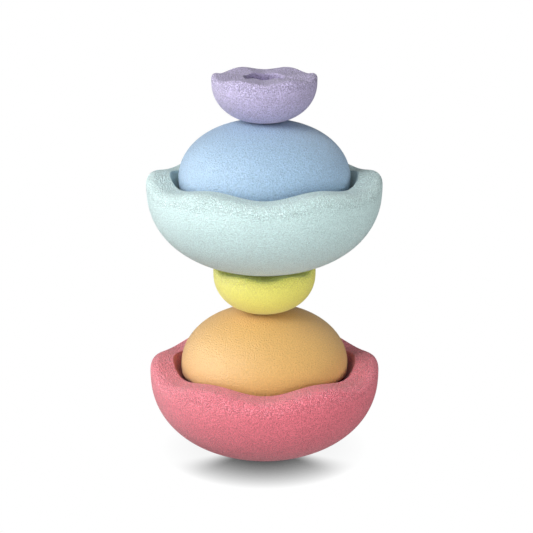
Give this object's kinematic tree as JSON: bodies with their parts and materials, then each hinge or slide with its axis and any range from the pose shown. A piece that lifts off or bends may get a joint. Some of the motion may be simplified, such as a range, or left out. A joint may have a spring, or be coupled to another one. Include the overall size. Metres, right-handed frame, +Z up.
{
  "type": "foam stacking cup tower",
  "caption": "Tower of loose foam bowls, domes and cups with wavy rims, stacked on one another by hand; each piece lifts straight off the one below.",
  "frame": {"origin": "centre of the flat foot of the lowest bowl, at floor level", "axes": "+Z up along the tower's axis; +X through a crest of every wavy rim, to the right of the viewer; +Y away from the viewer"},
  "size_m": [0.275, 0.275, 0.4583],
  "materials": {
    "pink_foam": "matt moulded closed-cell foam with a fine sandy grain, coarser on the rim",
    "orange_foam": "matt moulded closed-cell foam with a fine sandy grain, coarser on the rim",
    "yellow_foam": "matt moulded closed-cell foam with a fine sandy grain, coarser on the rim",
    "mint_foam": "matt moulded closed-cell foam with a fine sandy grain, coarser on the rim",
    "blue_foam": "matt moulded closed-cell foam with a fine sandy grain, coarser on the rim",
    "lavender_foam": "matt moulded closed-cell foam with a fine sandy grain, coarser on the rim"
  },
  "bodies": {
    "pink_bowl": {"pink_bowl": "pink_foam"},
    "orange_dome": {"orange_dome": "orange_foam"},
    "yellow_cup": {"yellow_cup": "yellow_foam"},
    "mint_bowl": {"mint_bowl": "mint_foam"},
    "blue_dome": {"blue_dome": "blue_foam"},
    "lavender_cup": {"lavender_cup": "lavender_foam"}
  },
  "joints": [
    {"name": "orange_lift", "type": "slide", "parent": "pink_bowl", "child": "orange_dome", "axis": [0, 0, 1], "range_m": [0, 0.12]},
    {"name": "yellow_lift", "type": "slide", "parent": "orange_dome", "child": "yellow_cup", "axis": [0, 0, 1], "range_m": [0, 0.1]},
    {"name": "mint_lift", "type": "slide", "parent": "yellow_cup", "child": "mint_bowl", "axis": [0, 0, 1], "range_m": [0, 0.12]},
    {"name": "blue_lift", "type": "slide", "parent": "mint_bowl", "child": "blue_dome", "axis": [0, 0, 1], "range_m": [0, 0.12]},
    {"name": "lavender_lift", "type": "slide", "parent": "blue_dome", "child": "lavender_cup", "axis": [0, 0, 1], "range_m": [0, 0.1]}
  ]
}
